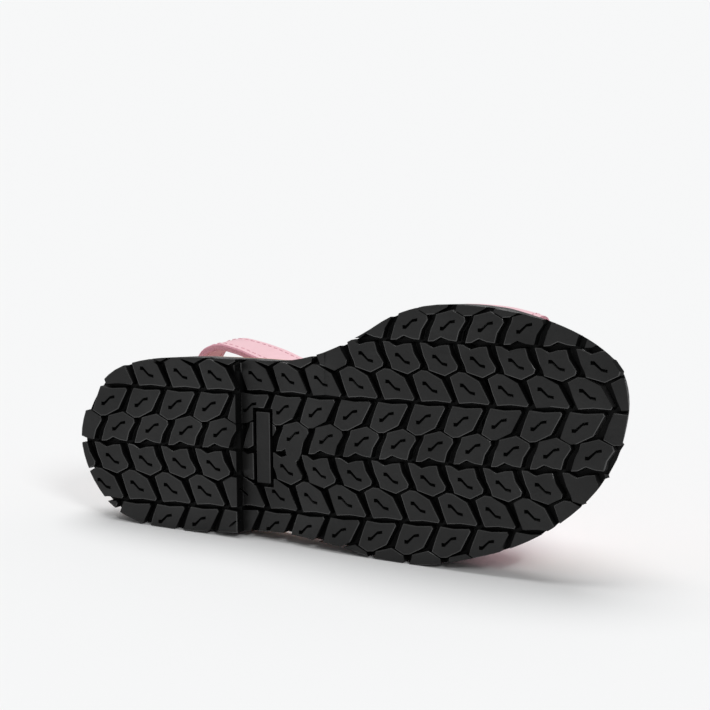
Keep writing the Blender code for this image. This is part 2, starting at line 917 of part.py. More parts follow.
def main():
    """Clears the scene and builds the shoe."""
    for old in list(bpy.data.objects):
        bpy.data.objects.remove(old)
    rubber = new_material("black_rubber", (0.012, 0.012, 0.013), 0.55)
    leather = new_material("pink_leather", (0.79, 0.47, 0.50), 0.5)
    tan = new_material("tan_leather", (0.60, 0.38, 0.24), 0.6)
    pose = bpy.data.objects.new("lying_pose", None)
    bpy.context.collection.objects.link(pose)
    pieces = [
        build_outsole(rubber, pose),
        build_footbed(tan, pose),
        build_vamp(leather, pose),
        build_strap(leather, pose),
    ]
    lie_down(pose, pieces)


main()
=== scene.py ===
"""Looks of an avarca sandal, left shoe, that lies on its outer side.

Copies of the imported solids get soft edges, slits in the lugs, sewn rows and
their finishes. Places inside the shoe are given in its standing frame: X from
the heel's back to the toe, Y to the outer side and Z up from the tread. All
lengths are in metres.
"""

import logging
import math
from contextlib import contextmanager
from dataclasses import dataclass, field
from enum import Enum
from typing import Callable, Iterator

import bpy
from mathutils import Matrix, Vector


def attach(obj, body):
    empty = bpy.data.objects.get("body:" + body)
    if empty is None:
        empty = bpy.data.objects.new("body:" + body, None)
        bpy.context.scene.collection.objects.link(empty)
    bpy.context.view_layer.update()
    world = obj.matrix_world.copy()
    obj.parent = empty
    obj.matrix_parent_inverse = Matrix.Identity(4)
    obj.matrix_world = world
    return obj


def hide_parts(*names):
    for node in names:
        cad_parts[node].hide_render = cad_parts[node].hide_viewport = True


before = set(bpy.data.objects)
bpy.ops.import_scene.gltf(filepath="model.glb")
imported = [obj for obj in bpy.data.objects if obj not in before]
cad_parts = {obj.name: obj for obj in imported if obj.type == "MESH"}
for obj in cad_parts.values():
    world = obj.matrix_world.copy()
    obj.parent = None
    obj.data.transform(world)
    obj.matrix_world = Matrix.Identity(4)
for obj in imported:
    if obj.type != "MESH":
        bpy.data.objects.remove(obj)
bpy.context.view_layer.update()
LOG = logging.getLogger("avarca")
Color = tuple[float, float, float]
Place = tuple[float, float, float]
MERGE_DISTANCE = 0.00001


class Side(Enum):
    """Which way a face of a leather piece looks."""

    OUTER = 0
    INNER = 1
    EDGE = 2


class Spot(Enum):
    """Where a face of the outsole lies."""

    LUG_END = 0
    SOLE_SIDE = 1
    GROOVE = 2
    LUG_EDGE = 3


@dataclass(frozen=True)
class LyingPose:
    """How the standing shoe lies in the frame."""

    yaw: float = math.radians(3.1489)
    lean: float = math.radians(3.8437)
    place: Place = (-0.09286, -0.03143, 0.02477)

    def matrix(self) -> Matrix:
        """Matrix from the standing shoe to the frame."""
        turn = Matrix.Rotation(-math.pi / 2 - self.lean, 4, "X")
        return Matrix.Translation(self.place) @ turn @ Matrix.Rotation(-self.yaw, 4, "Z")


POSE = LyingPose().matrix()
STANDING = POSE.inverted()
UP = (POSE.to_3x3() @ Vector((0.0, 0.0, 1.0))).normalized()


# Working on meshes


def activate(piece: bpy.types.Object) -> None:
    """Selects one object alone and makes it the active one."""
    bpy.ops.object.select_all(action="DESELECT")
    piece.select_set(True)
    bpy.context.view_layer.objects.active = piece


@contextmanager
def editing(piece: bpy.types.Object) -> Iterator[None]:
    """Edit mode on one object, with nothing selected at the start."""
    activate(piece)
    bpy.ops.object.mode_set(mode="EDIT")
    bpy.ops.mesh.select_all(action="DESELECT")
    try:
        yield
    finally:
        bpy.ops.object.mode_set(mode="OBJECT")


def pick_faces(piece: bpy.types.Object, wanted: Callable[[bpy.types.MeshPolygon], bool]) -> int:
    """Selects the faces that a test accepts, and nothing else.

    Args:
        piece: Mesh object, in object mode.
        wanted: Test of one face.

    Returns:
        How many faces are selected.
    """
    mesh = piece.data
    mesh.vertices.foreach_set("select", [False] * len(mesh.vertices))
    mesh.edges.foreach_set("select", [False] * len(mesh.edges))
    picked = [bool(wanted(face)) for face in mesh.polygons]
    mesh.polygons.foreach_set("select", picked)
    mesh.update()
    return sum(picked)


def apply_modifier(piece: bpy.types.Object, kind: str, **settings: object) -> None:
    """Adds a modifier, sets it up and applies it.

    Args:
        piece: Mesh object.
        kind: Modifier type.
        **settings: Its properties by name.
    """
    activate(piece)
    modifier = piece.modifiers.new(kind.lower(), kind)
    for name, value in settings.items():
        setattr(modifier, name, value)
    bpy.ops.object.modifier_apply(modifier=modifier.name)


def copy_node(node: str, name: str) -> bpy.types.Object:
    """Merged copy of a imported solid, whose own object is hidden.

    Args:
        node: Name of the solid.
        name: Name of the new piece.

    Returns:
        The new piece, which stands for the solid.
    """
    piece = bpy.data.objects.new(name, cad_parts[node].data.copy())
    bpy.context.scene.collection.objects.link(piece)
    piece.data.materials.clear()
    with editing(piece):
        bpy.ops.mesh.select_all(action="SELECT")
        bpy.ops.mesh.customdata_custom_splitnormals_clear()
        bpy.ops.mesh.remove_doubles(threshold=MERGE_DISTANCE)
    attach(piece, "root")
    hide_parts(node)
    return piece


def dissolve(piece: bpy.types.Object, angle: float) -> None:
    """Makes faces whole that lie in one plane, within an angle in degrees."""
    with editing(piece):
        bpy.ops.mesh.select_all(action="SELECT")
        bpy.ops.mesh.dissolve_limited(angle_limit=math.radians(angle))


def make_quads(piece: bpy.types.Object) -> None:
    """Joins pairs of triangles of a leather wall into four-sided faces."""
    with editing(piece):
        bpy.ops.mesh.select_all(action="SELECT")
        bpy.ops.mesh.tris_convert_to_quads(face_threshold=math.radians(40),
                                           shape_threshold=math.radians(60))


def smooth(piece: bpy.types.Object, angle: float) -> None:
    """Shades a piece smooth, with edges past an angle in degrees kept sharp."""
    activate(piece)
    bpy.ops.object.shade_smooth_by_angle(angle=math.radians(angle))


def apply_place(piece: bpy.types.Object) -> None:
    """Moves an object's place, turn and scale into its mesh."""
    activate(piece)
    bpy.ops.object.transform_apply(location=True, rotation=True, scale=True)


def join(pieces: list[bpy.types.Object], name: str) -> bpy.types.Object:
    """Joins several mesh objects into one at the origin.

    Args:
        pieces: Mesh objects with their own meshes.
        name: Name of the joined piece.

    Returns:
        The joined piece.
    """
    activate(pieces[0])
    for piece in pieces:
        piece.select_set(True)
    if len(pieces) > 1:
        bpy.ops.object.join()
    joined = bpy.context.view_layer.objects.active
    joined.name = name
    apply_place(joined)
    return joined


def placed_copies(model: bpy.types.Object, places: list[Matrix], name: str) -> bpy.types.Object:
    """Copies a small piece to many places, joins the copies and drops the model.

    Args:
        model: The piece that repeats.
        places: One matrix for each copy.
        name: Name of the joined piece.

    Returns:
        The joined piece.
    """
    copies = []
    for place in places:
        twin = bpy.data.objects.new(name, model.data.copy())
        bpy.context.scene.collection.objects.link(twin)
        twin.matrix_world = place
        copies.append(twin)
    bpy.data.objects.remove(model)
    bpy.context.view_layer.update()
    return join(copies, name)


# Finishes


class Nodes:
    """Small helper that writes a material's nodes."""

    noise_roughness = 0.6
    cell_smoothness = 0.6
    noise_low = 0.3
    noise_high = 0.7

    def __init__(self, name: str) -> None:
        """Starts a material with its plain shader."""
        self.material = bpy.data.materials.new(name)
        self.material.use_nodes = True
        self.tree = self.material.node_tree
        self.shader = self.tree.nodes["Principled BSDF"]

    def add(self, kind: str, **settings: object) -> bpy.types.Node:
        """Adds a node and sets its properties."""
        node = self.tree.nodes.new(kind)
        for name, value in settings.items():
            setattr(node, name, value)
        return node

    def link(self, output: bpy.types.NodeSocket, target: bpy.types.NodeSocket) -> None:
        """Joins two sockets."""
        self.tree.links.new(output, target)

    def coordinates(self, scale: Place, standing: bool = False) -> bpy.types.NodeSocket:
        """Object coordinates, scaled, and turned to the standing shoe if asked."""
        place = self.add("ShaderNodeTexCoord").outputs["Object"]
        if standing:
            turn = self.add("ShaderNodeMapping", vector_type="POINT")
            turn.inputs["Rotation"].default_value = STANDING.to_euler()
            self.link(place, turn.inputs["Vector"])
            place = turn.outputs["Vector"]
        mapping = self.add("ShaderNodeMapping", vector_type="POINT")
        mapping.inputs["Scale"].default_value = scale
        self.link(place, mapping.inputs["Vector"])
        return mapping.outputs["Vector"]

    def noise(self, place: bpy.types.NodeSocket, scale: float, detail: float) -> bpy.types.NodeSocket:
        """Noise value at a place."""
        node = self.add("ShaderNodeTexNoise")
        node.inputs["Scale"].default_value = scale
        node.inputs["Detail"].default_value = detail
        node.inputs["Roughness"].default_value = self.noise_roughness
        self.link(place, node.inputs["Vector"])
        return node.outputs["Fac"]

    def cells(self, place: bpy.types.NodeSocket, scale: float) -> bpy.types.NodeSocket:
        """Distance to the walls of small soft cells."""
        node = self.add("ShaderNodeTexVoronoi", feature="SMOOTH_F1")
        node.inputs["Scale"].default_value = scale
        node.inputs["Smoothness"].default_value = self.cell_smoothness
        self.link(place, node.inputs["Vector"])
        return node.outputs["Distance"]

    def ranged(self, value: bpy.types.NodeSocket, low: float, high: float) -> bpy.types.NodeSocket:
        """Maps the middle of a noise to a range."""
        node = self.add("ShaderNodeMapRange")
        node.inputs["From Min"].default_value = self.noise_low
        node.inputs["From Max"].default_value = self.noise_high
        node.inputs["To Min"].default_value = low
        node.inputs["To Max"].default_value = high
        self.link(value, node.inputs["Value"])
        return node.outputs["Result"]

    def blend(self, value: bpy.types.NodeSocket, first: Color, second: Color) -> bpy.types.NodeSocket:
        """Colour between two, by a noise."""
        node = self.add("ShaderNodeMix", data_type="RGBA")
        for socket in node.inputs:
            if socket.type == "RGBA":
                color = first if socket.name == "A" else second
                socket.default_value = (*color, 1.0)
        self.link(self.ranged(value, 0.0, 1.0), node.inputs["Factor"])
        return [out for out in node.outputs if out.type == "RGBA"][0]

    def bump(self, value: bpy.types.NodeSocket, depth: float,
             under: bpy.types.NodeSocket | None = None) -> bpy.types.NodeSocket:
        """Relief of a noise, on top of another relief where one is given."""
        node = self.add("ShaderNodeBump")
        node.inputs["Strength"].default_value = 1.0
        node.inputs["Distance"].default_value = depth
        self.link(value, node.inputs["Height"])
        if under is not None:
            self.link(under, node.inputs["Normal"])
        return node.outputs["Normal"]


@dataclass(frozen=True)
class LeatherFinish:
    """Leather with a fine grain and a cloudy colour."""

    name: str
    light: Color
    dark: Color
    roughness: float = 0.5
    grain: float = 1500.0
    grain_depth: float = 0.00006
    clouds: float = 60.0

    def material(self) -> bpy.types.Material:
        """Makes the material."""
        nodes = Nodes(self.name)
        place = nodes.coordinates((1.0, 1.0, 1.0))
        pores = nodes.cells(place, self.grain)
        creases = nodes.noise(place, self.grain / 4, 4.0)
        clouds = nodes.noise(place, self.clouds, 3.0)
        nodes.link(nodes.blend(clouds, self.light, self.dark), nodes.shader.inputs["Base Color"])
        rough = nodes.ranged(creases, self.roughness - 0.06, self.roughness + 0.08)
        nodes.link(rough, nodes.shader.inputs["Roughness"])
        relief = nodes.bump(creases, self.grain_depth)
        relief = nodes.bump(pores, self.grain_depth * 0.8, relief)
        nodes.link(relief, nodes.shader.inputs["Normal"])
        nodes.shader.inputs["Specular IOR Level"].default_value = 0.35
        return nodes.material


@dataclass(frozen=True)
class FibreFinish:
    """Cut edge of leather: short fibres in layers."""

    name: str
    light: Color
    dark: Color
    fibre: float = 2600.0
    fibre_depth: float = 0.00012

    def material(self) -> bpy.types.Material:
        """Makes the material."""
        nodes = Nodes(self.name)
        place = nodes.coordinates((1.0, 1.0, 1.0))
        fibres = nodes.noise(place, self.fibre, 4.0)
        nodes.link(nodes.blend(fibres, self.light, self.dark), nodes.shader.inputs["Base Color"])
        nodes.link(nodes.bump(fibres, self.fibre_depth), nodes.shader.inputs["Normal"])
        nodes.shader.inputs["Roughness"].default_value = 0.8
        nodes.shader.inputs["Specular IOR Level"].default_value = 0.2
        return nodes.material


@dataclass(frozen=True)
class RubberFinish:
    """Moulded black rubber."""

    name: str
    light: Color = (0.0120, 0.0121, 0.0121)
    dark: Color = (0.0060, 0.0061, 0.0061)
    roughness: float = 0.38
    skin: float = 900.0
    skin_depth: float = 0.00004
    clouds: float = 55.0
    cloud_depth: float = 0.0003
    specular: float = 0.34

    def material(self) -> bpy.types.Material:
        """Makes the material."""
        nodes = Nodes(self.name)
        place = nodes.coordinates((1.0, 1.0, 1.0))
        skin = nodes.noise(place, self.skin, 4.0)
        clouds = nodes.noise(place, self.clouds, 4.0)
        nodes.link(nodes.blend(clouds, self.light, self.dark), nodes.shader.inputs["Base Color"])
        rough = nodes.ranged(clouds, self.roughness - 0.07, self.roughness + 0.09)
        nodes.link(rough, nodes.shader.inputs["Roughness"])
        relief = nodes.bump(clouds, self.cloud_depth)
        nodes.link(nodes.bump(skin, self.skin_depth, relief), nodes.shader.inputs["Normal"])
        nodes.shader.inputs["Specular IOR Level"].default_value = self.specular
        return nodes.material


@dataclass(frozen=True)
class SandedRubberFinish:
    """Side of the sole, sanded along its length."""

    name: str
    light: Color = (0.030, 0.030, 0.030)
    dark: Color = (0.008, 0.008, 0.008)
    streaks: Place = (30.0, 30.0, 1800.0)
    streak_depth: float = 0.00012
    patches: float = 90.0
    patch_depth: float = 0.0002

    def material(self) -> bpy.types.Material:
        """Makes the material."""
        nodes = Nodes(self.name)
        streaks = nodes.noise(nodes.coordinates(self.streaks, standing=True), 1.0, 5.0)
        patches = nodes.noise(nodes.coordinates((1.0, 1.0, 1.0)), self.patches, 3.0)
        nodes.link(nodes.blend(streaks, self.dark, self.light), nodes.shader.inputs["Base Color"])
        nodes.link(nodes.ranged(patches, 0.24, 0.55), nodes.shader.inputs["Roughness"])
        relief = nodes.bump(streaks, self.streak_depth)
        nodes.link(nodes.bump(patches, self.patch_depth, relief), nodes.shader.inputs["Normal"])
        nodes.shader.inputs["Specular IOR Level"].default_value = 0.5
        return nodes.material


@dataclass(frozen=True)
class ThreadFinish:
    """Waxed sewing thread with its twist."""

    name: str
    light: Color
    dark: Color
    twist: float = 3500.0
    twist_depth: float = 0.00006

    def material(self) -> bpy.types.Material:
        """Makes the material."""
        nodes = Nodes(self.name)
        twist = nodes.noise(nodes.coordinates((1.0, 1.0, 1.0)), self.twist, 2.0)
        nodes.link(nodes.blend(twist, self.light, self.dark), nodes.shader.inputs["Base Color"])
        nodes.link(nodes.bump(twist, self.twist_depth), nodes.shader.inputs["Normal"])
        nodes.shader.inputs["Roughness"].default_value = 0.6
        return nodes.material


# Sewing


@dataclass
class Thread:
    """Rows of stitches on leather."""

    pitch: float = 0.0030
    length: float = 0.0021
    radius: float = 0.00024
    flatness: float = 0.8
    seat: float = 0.35
    shade_angle: float = 60.0

    def stitch(self) -> bpy.types.Object:
        """One stitch along X, with Z away from the leather."""
        bpy.ops.mesh.primitive_uv_sphere_add(segments=6, ring_count=5, radius=self.radius,
                                             rotation=(0.0, math.pi / 2, 0.0))
        piece = bpy.context.view_layer.objects.active
        apply_place(piece)
        stretch = self.length / (2 * self.radius)
        with editing(piece):
            bpy.ops.mesh.select_all(action="SELECT")
            bpy.ops.transform.resize(value=(stretch, 1.0, self.flatness), center_override=(0.0, 0.0, 0.0))
        return piece

    def places(self, row: list[tuple[Vector, Vector]]) -> list[Matrix]:
        """Even places along a row.

        Args:
            row: Points on the leather and the direction away from it.

        Returns:
            One matrix for each stitch.
        """
        lengths = [0.0]
        for (start, _), (end, _) in zip(row, row[1:]):
            lengths.append(lengths[-1] + (end - start).length)
        count = int(lengths[-1] / self.pitch)
        places = []
        index = 0
        for step in range(count):
            at = (step + 0.5) * lengths[-1] / count
            while lengths[index + 1] < at:
                index += 1
            share = (at - lengths[index]) / (lengths[index + 1] - lengths[index])
            start, end = row[index], row[index + 1]
            along = (end[0] - start[0]).normalized()
            away = start[1].lerp(end[1], share)
            away = (away - along * away.dot(along)).normalized()
            spot = start[0].lerp(end[0], share) + away * self.radius * self.seat
            turn = Matrix((along, away.cross(along), away)).transposed().to_4x4()
            places.append(Matrix.Translation(spot) @ turn)
        return places

    def sew(self, rows: list[list[tuple[Vector, Vector]]], name: str,
            finish: ThreadFinish) -> bpy.types.Object:
        """Sews rows of stitches as one piece."""
        places = [place for row in rows for place in self.places(row)]
        piece = placed_copies(self.stitch(), places, name)
        piece.data.materials.clear()
        piece.data.materials.append(finish.material())
        smooth(piece, self.shade_angle)
        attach(piece, "root")
        LOG.info("%s: %d stitches", name, len(places))
        return piece


# Pieces of the shoe


@dataclass
class Tread:
    """Black rubber outsole with soft lug edges and a slit in each lug."""

    pitch: float = 0.0125
    row_spacing: float = 0.0089
    lug_start: float = 0.1252
    row_start: float = 0.0215
    band_shift: float = 0.0044
    groove: float = 0.0026
    edge_round: float = 0.00028
    sole_length: float = 0.1870
    sole_width: float = 0.0770
    heel_length: float = 0.0575
    heel_drop: float = 0.0035
    arch_length: float = 0.0380
    spring: float = 0.0050
    spring_length: float = 0.0400
    slit_depth: float = 0.0011
    side_over_groove: float = 0.0004
    level_slack: float = 0.0006
    slope_step: float = 0.002
    sharp_angle: float = math.radians(40)
    narrow_angle: float = math.radians(50)
    round_share: float = 0.3
    upright_lean: float = 0.35
    level_lean: float = 0.95
    shade_angle: float = 38.0
    rubber: RubberFinish = RubberFinish("black_rubber")
    side: SandedRubberFinish = SandedRubberFinish("sanded_rubber")
    # Darker, duller rubber on the groove floors and lug flanks: painted shade for the shade that falls in
    # the grooves.
    painted_groove_shade: RubberFinish = RubberFinish("painted_groove_shade_rubber", (0.0040, 0.0041, 0.0042),
                                         (0.0020, 0.0021, 0.0021), 0.5, specular=0.12)
    # Rounded lug edges: their lighter colour is a painted highlight, while the low roughness and strong
    # specular give real glints from the lamps.
    edges: RubberFinish = RubberFinish("lug_edge_painted_highlight_rubber", (0.030, 0.030, 0.030),
                                       (0.012, 0.012, 0.012), 0.24, specular=0.8)
    # Rows of a band: across, along, flipped
    rows: tuple[tuple[float, float, bool], ...] = (
        (0.90, 0.27, False),
        (0.00, 0.00, False),
        (-1.08, -0.18, True),
        (-1.95, 0.13, True),
    )
    # Slit: along, across, radius
    slit_line: tuple[Place, ...] = (
        (-0.0025, 0.0010, 0.00056),
        (-0.0014, 0.0010, 0.00050),
        (0.0008, -0.0010, 0.00038),
        (0.0025, -0.0013, 0.00042),
    )

    def level(self, x: float) -> float:
        """Height of the lugs' ends over the ground at a place along the shoe."""
        if x < self.heel_length:
            return 0.0
        share = min(max((x - self.heel_length) / self.arch_length, 0.0), 1.0)
        rise = self.heel_drop * (1.0 - share * share * (3.0 - 2.0 * share))
        lift = max((x - self.sole_length + self.spring_length) / self.spring_length, 0.0)
        return rise + self.spring * lift * lift

    def slit(self) -> bpy.types.Object:
        """Cutter for one slit along X, drawn out of a short round bar."""
        start, following = self.slit_line[0], self.slit_line[1]
        middle = ((start[0] + following[0]) / 2, start[1], 0.0)
        bpy.ops.mesh.primitive_cylinder_add(vertices=8, radius=start[2], location=middle,
                                            depth=following[0] - start[0],
                                            rotation=(0.0, math.pi / 2, 0.0))
        piece = bpy.context.view_layer.objects.active
        apply_place(piece)
        here = following
        for ahead in self.slit_line[2:]:
            pick_faces(piece, lambda face: face.center.x > here[0] - 1e-5 and face.normal.x > 0.5)
            activate(piece)
            bpy.ops.object.mode_set(mode="EDIT")
            shift = (ahead[0] - here[0], ahead[1] - here[1], 0.0)
            bpy.ops.mesh.extrude_region_move(TRANSFORM_OT_translate={"value": shift})
            shrink = ahead[2] / here[2]
            bpy.ops.transform.resize(value=(1.0, shrink, shrink),
                                     center_override=(ahead[0], ahead[1], 0.0))
            bpy.ops.object.mode_set(mode="OBJECT")
            here = ahead
        with editing(piece):
            bpy.ops.mesh.select_all(action="SELECT")
            bpy.ops.mesh.normals_make_consistent(inside=False)
            deep = self.slit_depth / start[2]
            bpy.ops.transform.resize(value=(1.0, 1.0, deep), center_override=(0.0, 0.0, 0.0))
        return piece

    def on_lug(self, piece: bpy.types.Object, spot: Vector) -> bool:
        """True where a whole slit finds rubber at the lugs' height."""
        below = POSE @ Vector((spot.x, spot.y, -0.01))
        hit, place, _, _ = piece.ray_cast(below, UP)
        return hit and abs((STANDING @ place).z - self.level(spot.x)) < self.level_slack

    def slit_places(self, piece: bpy.types.Object) -> list[Matrix]:
        """One place for each lug that has room for its slit."""
        places = []
        bands = math.ceil(self.sole_width / (len(self.rows) * self.row_spacing)) + 1
        columns = math.ceil(self.sole_length / self.pitch) + 1
        for band in range(-bands, bands + 1):
            for across, along, flipped in self.rows:
                y = -self.row_start - (across - band * len(self.rows)) * self.row_spacing
                turn = 1.0 if flipped else -1.0
                for column in range(-columns, columns + 1):
                    x = self.lug_start + (column + along) * self.pitch - band * self.band_shift
                    points = [Vector((x + dx, y + turn * dy, 0.0)) for dx, dy, _ in self.slit_line]
                    if all(self.on_lug(piece, point) for point in points):
                        mirror = Matrix.Scale(turn, 4, Vector((0.0, 1.0, 0.0)))
                        places.append(self.at(x, y) @ mirror)
        return places

    def at(self, x: float, y: float) -> Matrix:
        """Place on the lugs' ends, with X along them and Z into the rubber."""
        step = self.slope_step
        slope = (self.level(x + step) - self.level(x - step)) / (2 * step)
        tilt = Matrix.Rotation(-math.atan(slope), 4, "Y")
        return POSE @ Matrix.Translation((x, y, self.level(x))) @ tilt

    def weigh_edges(self, piece: bpy.types.Object) -> None:
        """Marks the sharp edges to round.

        Short edges leave less room for the round, and narrow corners none.
        """
        mesh = piece.data
        shortest = [1.0] * len(mesh.vertices)
        for edge in mesh.edges:
            start, end = edge.vertices
            length = (mesh.vertices[start].co - mesh.vertices[end].co).length
            shortest[start] = min(shortest[start], length)
            shortest[end] = min(shortest[end], length)
        ways: dict[int, list[Vector]] = {}
        for edge in mesh.edges:
            start, end = (mesh.vertices[index] for index in edge.vertices)
            ways.setdefault(start.index, []).append((end.co - start.co).normalized())
            ways.setdefault(end.index, []).append((start.co - end.co).normalized())
        for index, found in ways.items():
            pairs = [(one, two) for count, one in enumerate(found) for two in found[count + 1:]]
            if any(one.angle(two) < self.narrow_angle for one, two in pairs):
                shortest[index] = 0.0
        links = face_links(mesh)
        weights = []
        for edge in mesh.edges:
            faces = [mesh.polygons[index] for index in links.get(edge.key, [])]
            sharp = len(faces) == 2 and faces[0].normal.angle(faces[1].normal) > self.sharp_angle
            room = self.round_share * min(shortest[index] for index in edge.vertices)
            weights.append(min(room / self.edge_round, 1.0) if sharp else 0.0)
        layer = mesh.attributes.new("bevel_weight_edge", "FLOAT", "EDGE")
        layer.data.foreach_set("value", weights)

    def build(self) -> bpy.types.Object:
        """Softens the lugs, cuts the slits and dresses the rubber."""
        piece = copy_node("outsole", "outsole_rubber")
        dissolve(piece, 1.0)
        places = self.slit_places(piece)
        self.weigh_edges(piece)
        apply_modifier(piece, "BEVEL", width=self.edge_round, segments=2, limit_method="WEIGHT",
                       use_clamp_overlap=False)
        cutter = placed_copies(self.slit(), places, "slit_cutter")
        with editing(cutter):
            bpy.ops.mesh.select_all(action="SELECT")
            bpy.ops.mesh.normals_make_consistent(inside=False)
        apply_modifier(piece, "BOOLEAN", operation="DIFFERENCE", solver="EXACT", object=cutter)
        bpy.data.objects.remove(cutter)
        self.dress(piece)
        smooth(piece, self.shade_angle)
        apply_modifier(piece, "WEIGHTED_NORMAL", keep_sharp=True)
        LOG.info("outsole: %d slits, %d faces", len(places), len(piece.data.polygons))
        return piece

    def dress(self, piece: bpy.types.Object) -> None:
        """Gives each face the rubber of its place, in the order of Spot: painted shade in the grooves and
        on the lug flanks, a painted highlight on the lug edges.
        """
        piece.data.materials.clear()
        for finish in (self.rubber, self.side, self.painted_groove_shade, self.edges):
            piece.data.materials.append(finish.material())
        turn = STANDING.to_3x3()
        # Deep faces take the painted groove shade, and sloping faces at the lug ends take the painted
        # edge highlight.
        for face in piece.data.polygons:
            center = STANDING @ face.center
            lean = abs((turn @ face.normal).z)
            depth = center.z - self.level(center.x)
            tops = [(STANDING @ piece.data.vertices[index].co).z for index in face.vertices]
            over = max(tops) - self.level(max(center.x, self.heel_length))
            if lean < self.upright_lean and over > self.groove + self.side_over_groove:
                spot = Spot.SOLE_SIDE
            elif depth > self.edge_round:
                spot = Spot.GROOVE
            else:
                spot = Spot.LUG_EDGE if lean < self.level_lean else Spot.LUG_END
            face.material_index = spot.value


@dataclass
class Footbed:
    """Tan leather sheet on the sole."""

    edge_round: float = 0.0004
    shade_angle: float = 40.0
    leather: LeatherFinish = LeatherFinish("tan_leather", (0.66, 0.42, 0.265), (0.58, 0.35, 0.21),
                                           roughness=0.55, grain=1100.0, grain_depth=0.00004)

    def build(self) -> bpy.types.Object:
        """Softens the sheet's edge and dresses it."""
        piece = copy_node("footbed", "footbed_leather")
        dissolve(piece, 0.5)
        apply_modifier(piece, "BEVEL", width=self.edge_round, segments=3, limit_method="ANGLE",
                       angle_limit=math.radians(40), use_clamp_overlap=False)
        piece.data.materials.append(self.leather.material())
        smooth(piece, self.shade_angle)
        LOG.info("footbed: %d faces", len(piece.data.polygons))
        return piece


@dataclass
class PinkLeather:
    """Finishes that the vamp and the heel strap share."""

    outer: LeatherFinish = LeatherFinish("pink_leather", (0.90, 0.60, 0.65), (0.86, 0.55, 0.60))
    # Lining: a pink of its own, darkened to a dusty rose as painted shade on the inner faces of the vamp
    # and the strap.
    inner: LeatherFinish = LeatherFinish("pink_lining_painted_shade", (0.60, 0.27, 0.285), (0.52, 0.21, 0.225),
                                         roughness=0.62, grain=1900.0, grain_depth=0.00004)
    edge: FibreFinish = FibreFinish("raw_leather_edge", (0.82, 0.46, 0.52), (0.50, 0.19, 0.28))
    thread: ThreadFinish = ThreadFinish("pink_thread", (0.88, 0.57, 0.62), (0.70, 0.36, 0.43))

    def dress(self, piece: bpy.types.Object, sides: Callable[[bpy.types.MeshPolygon], Side]) -> None:
        """Gives each face of a piece the finish of its side."""
        piece.data.materials.clear()
        for finish in (self.outer, self.inner, self.edge):
            name = f"{finish.name}_{piece.name}"
            made = finish.material()
            made.name = name
            piece.data.materials.append(made)
        for face in piece.data.polygons:
            face.material_index = sides(face).value


def face_links(mesh: bpy.types.Mesh) -> dict[tuple[int, int], list[int]]:
    """Faces that meet at each edge, by the edge's vertices."""
    links: dict[tuple[int, int], list[int]] = {}
    for face in mesh.polygons:
        for key in face.edge_keys:
            links.setdefault(key, []).append(face.index)
    return links


@dataclass
class HeelStrap:
    """Band of leather round the heel, with a sewn row along both edges."""

    width: float = 0.0135
    corner: float = 0.0004
    width_slack: float = 0.0004
    row_inset: float = 0.0021
    heel_middle: Place = (0.045, 0.0, 0.045)
    shade_angle: float = 35.0
    leather: PinkLeather = field(default_factory=PinkLeather)
    thread: Thread = field(default_factory=Thread)

    def rungs(self, piece: bpy.types.Object) -> list[list[tuple[Vector, Vector, Vector]]]:
        """Lines across the band's two broad faces, in order along it.

        Returns:
            One list for each broad face: both ends of each line and the
            direction away from the leather.
        """
        mesh = piece.data
        near: dict[tuple[int, int], set[tuple[int, int]]] = {}
        normals: dict[tuple[int, int], Vector] = {}
        for face in mesh.polygons:
            if len(face.vertices) != 4:
                continue
            across = self.full_width(mesh, face)
            if len(across) != 2:
                continue
            for key, other in (across, across[::-1]):
                near.setdefault(key, set()).add(other)
                normals[key] = normals.get(key, Vector()) + face.normal
        chains = []
        ends = [key for key, others in near.items() if len(others) == 1]
        seen: set[tuple[int, int]] = set()
        for end in ends:
            if end in seen:
                continue
            chain = [end]
            seen.add(end)
            while True:
                ahead = [key for key in near[chain[-1]] if key not in seen]
                if not ahead:
                    break
                chain.append(ahead[0])
                seen.add(ahead[0])
            chains.append(self.in_step(mesh, chain, normals))
        return chains

    def full_width(self, mesh: bpy.types.Mesh, face: bpy.types.MeshPolygon) -> list[tuple[int, int]]:
        """Edges of a face that are as long as the band is wide."""
        broad = self.width - 2 * self.corner
        keys = []
        for key in face.edge_keys:
            start, end = (mesh.vertices[index].co for index in key)
            if abs((end - start).length - broad) < self.width_slack:
                keys.append(key)
        return keys

    @staticmethod
    def in_step(mesh: bpy.types.Mesh, chain: list[tuple[int, int]],
                normals: dict[tuple[int, int], Vector]) -> list[tuple[Vector, Vector, Vector]]:
        """Turns every line of a chain the same way round."""
        rows = []
        for key in chain:
            one, other = (mesh.vertices[index].co.copy() for index in key)
            if rows and (one - rows[-1][0]).length > (other - rows[-1][0]).length:
                one, other = other, one
            rows.append((one, other, normals[key].normalized()))
        return rows

    def build(self) -> bpy.types.Object:
        """Dresses the strap and sews its rows."""
        piece = copy_node("heel_strap", "heel_strap_leather")
        make_quads(piece)
        chains = self.rungs(piece)
        LOG.info("heel strap: %s lines across", [len(chain) for chain in chains])
        heel = POSE @ Vector(self.heel_middle)

        def side(face: bpy.types.MeshPolygon) -> Side:
            """Which way a face looks."""
            if len(self.full_width(piece.data, face)) != 2:
                return Side.EDGE
            return Side.OUTER if face.normal.dot(face.center - heel) > 0 else Side.INNER

        self.leather.dress(piece, side)
        smooth(piece, self.shade_angle)
        rows = []
        for chain in chains:
            for flip in (False, True):
                row = []
                for one, other, away in chain[1:-1]:
                    start, end = (other, one) if flip else (one, other)
                    inset = self.row_inset - self.corner
                    row.append((start + (end - start).normalized() * inset, away))
                rows.append(row)
        sewn = self.thread.sew(rows, "heel_strap_stitches", self.leather.thread)
        return piece


